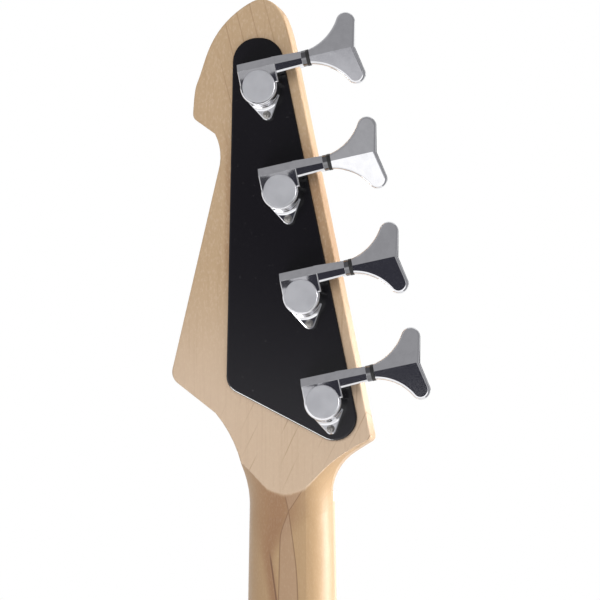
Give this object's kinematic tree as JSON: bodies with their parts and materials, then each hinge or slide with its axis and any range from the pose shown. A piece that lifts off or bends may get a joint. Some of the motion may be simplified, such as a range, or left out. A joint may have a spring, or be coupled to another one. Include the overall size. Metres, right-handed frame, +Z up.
{
  "type": "electric bass guitar",
  "caption": "Solid-body electric bass guitar with geared tuners in line on the bass side of the head, a split pickup, turning controls and an adjustable bridge.",
  "frame": {"origin": "centre line at the nut, on the plane of the fretboard's top, where a hanger's yoke holds the neck", "axes": "+Z up the neck to the head, +Y the string side, +X the bass side with the tuner keys"},
  "size_m": [0.3237, 0.0706, 1.2052],
  "materials": {
    "maple": "pale satin maple",
    "body_finish": "satin lacquer over ash",
    "black_satin": "satin black",
    "black_plastic": "matt black",
    "chrome": "bright chrome plate",
    "cap_satin": "satin",
    "steel": "plain steel",
    "nickel": "nickel",
    "brass": "plain brass",
    "bone": "polished bone white",
    "dot_black": "polished black",
    "guard": "gloss black, with a white middle layer in its edge",
    "coil": "lacquered wire",
    "lead": "cloth covered lead"
  },
  "bodies": {
    "bass": {"neck": "maple", "head_plate": "black_satin", "fretboard": "maple", "frets": "nickel", "position_dots": "dot_black", "nut": "bone", "string_tree": "chrome", "truss_rod": "steel", "neck_plate": "chrome", "neck_screws": "chrome", "tuner_housings": "chrome", "tuner_caps": "cap_satin", "tuner_screws": "chrome", "post_bushings": "chrome", "key_washers": "black_plastic", "strings": "nickel", "body": "body_finish", "pickguard": "guard", "pickguard_screws": "chrome", "pickup_covers": "black_plastic", "pickup_coils": "coil", "pole_pieces": "steel", "pickup_screws": "chrome", "potentiometers": "steel", "control_nuts": "chrome", "output_jack": "chrome", "bridge_plate": "chrome", "bridge_screws": "chrome", "strap_screws": "chrome", "strap_buttons": "chrome", "wiring": "lead"},
    "key_1": {"tuner_key_1": "chrome", "worm_shaft_1": "steel"},
    "post_1": {"string_post_1": "chrome", "worm_wheel_1": "brass"},
    "key_2": {"tuner_key_2": "chrome", "worm_shaft_2": "steel"},
    "post_2": {"string_post_2": "chrome", "worm_wheel_2": "brass"},
    "key_3": {"tuner_key_3": "chrome", "worm_shaft_3": "steel"},
    "post_3": {"string_post_3": "chrome", "worm_wheel_3": "brass"},
    "key_4": {"tuner_key_4": "chrome", "worm_shaft_4": "steel"},
    "post_4": {"string_post_4": "chrome", "worm_wheel_4": "brass"},
    "volume": {"volume_knob": "chrome", "volume_shaft": "steel"},
    "tone": {"tone_knob": "chrome", "tone_shaft": "steel"},
    "screw_1": {"intonation_screw_1": "steel"},
    "saddle_body_1": {"saddle_1": "chrome"},
    "screw_2": {"intonation_screw_2": "steel"},
    "saddle_body_2": {"saddle_2": "chrome"},
    "screw_3": {"intonation_screw_3": "steel"},
    "saddle_body_3": {"saddle_3": "chrome"},
    "screw_4": {"intonation_screw_4": "steel"},
    "saddle_body_4": {"saddle_4": "chrome"},
    "truss_nut": {"truss_rod_nut": "steel"}
  },
  "joints": [
    {"name": "key_turn_1", "type": "hinge", "parent": "bass", "child": "key_1", "pos_m": [0.01821, -0.031, 0.05672], "axis": [0.9796, 0, 0.2011], "continuous": true},
    {"name": "post_turn_1", "type": "hinge", "parent": "bass", "child": "post_1", "pos_m": [0.02, -0.025, 0.048], "axis": [0, -1, 0], "continuous": true},
    {"name": "key_turn_2", "type": "hinge", "parent": "bass", "child": "key_2", "pos_m": [0.0078, -0.031, 0.10742], "axis": [0.9796, 0, 0.2011], "continuous": true},
    {"name": "post_turn_2", "type": "hinge", "parent": "bass", "child": "post_2", "pos_m": [0.00959, -0.025, 0.0987], "axis": [0, -1, 0], "continuous": true},
    {"name": "key_turn_3", "type": "hinge", "parent": "bass", "child": "key_3", "pos_m": [-0.00261, -0.031, 0.15812], "axis": [0.9796, 0, 0.2011], "continuous": true},
    {"name": "post_turn_3", "type": "hinge", "parent": "bass", "child": "post_3", "pos_m": [-0.00082, -0.025, 0.14941], "axis": [0, -1, 0], "continuous": true},
    {"name": "key_turn_4", "type": "hinge", "parent": "bass", "child": "key_4", "pos_m": [-0.01301, -0.031, 0.20883], "axis": [0.9796, 0, 0.2011], "continuous": true},
    {"name": "post_turn_4", "type": "hinge", "parent": "bass", "child": "post_4", "pos_m": [-0.01122, -0.025, 0.20011], "axis": [0, -1, 0], "continuous": true},
    {"name": "volume_turn", "type": "hinge", "parent": "bass", "child": "volume", "pos_m": [-0.082, -0.0065, -0.7626], "axis": [0, 1, 0], "range_deg": [-150, 150]},
    {"name": "tone_turn", "type": "hinge", "parent": "bass", "child": "tone", "pos_m": [-0.098, -0.0065, -0.8126], "axis": [0, 1, 0], "range_deg": [-150, 150]},
    {"name": "screw_turn_1", "type": "hinge", "parent": "bass", "child": "screw_1", "pos_m": [0.0285, -0.0032, -0.9108], "axis": [0, 0, -1], "range_deg": [0, 4115]},
    {"name": "saddle_slide_1", "type": "slide", "parent": "bass", "child": "saddle_body_1", "axis": [0, 0, 1], "range_m": [0, 0.008]},
    {"name": "screw_turn_2", "type": "hinge", "parent": "bass", "child": "screw_2", "pos_m": [0.0095, -0.0032, -0.9108], "axis": [0, 0, -1], "range_deg": [0, 4115]},
    {"name": "saddle_slide_2", "type": "slide", "parent": "bass", "child": "saddle_body_2", "axis": [0, 0, 1], "range_m": [0, 0.008]},
    {"name": "screw_turn_3", "type": "hinge", "parent": "bass", "child": "screw_3", "pos_m": [-0.0095, -0.0032, -0.9108], "axis": [0, 0, -1], "range_deg": [0, 4115]},
    {"name": "saddle_slide_3", "type": "slide", "parent": "bass", "child": "saddle_body_3", "axis": [0, 0, 1], "range_m": [0, 0.008]},
    {"name": "screw_turn_4", "type": "hinge", "parent": "bass", "child": "screw_4", "pos_m": [-0.0285, -0.0032, -0.9108], "axis": [0, 0, -1], "range_deg": [0, 4115]},
    {"name": "saddle_slide_4", "type": "slide", "parent": "bass", "child": "saddle_body_4", "axis": [0, 0, 1], "range_m": [0, 0.008]},
    {"name": "truss_nut_turn", "type": "hinge", "parent": "bass", "child": "truss_nut", "pos_m": [0, -0.013, 0.01], "axis": [0, 0, 1], "range_deg": [-360, 360]}
  ],
  "couplings": [
    {"joint": "post_turn_1", "follows": "key_turn_1", "ratio": 0.05},
    {"joint": "post_turn_2", "follows": "key_turn_2", "ratio": 0.05},
    {"joint": "post_turn_3", "follows": "key_turn_3", "ratio": 0.05},
    {"joint": "post_turn_4", "follows": "key_turn_4", "ratio": 0.05},
    {"joint": "screw_turn_1", "follows": "saddle_slide_1", "rad_per_m": 8976},
    {"joint": "screw_turn_2", "follows": "saddle_slide_2", "rad_per_m": 8976},
    {"joint": "screw_turn_3", "follows": "saddle_slide_3", "rad_per_m": 8976},
    {"joint": "screw_turn_4", "follows": "saddle_slide_4", "rad_per_m": 8976}
  ]
}
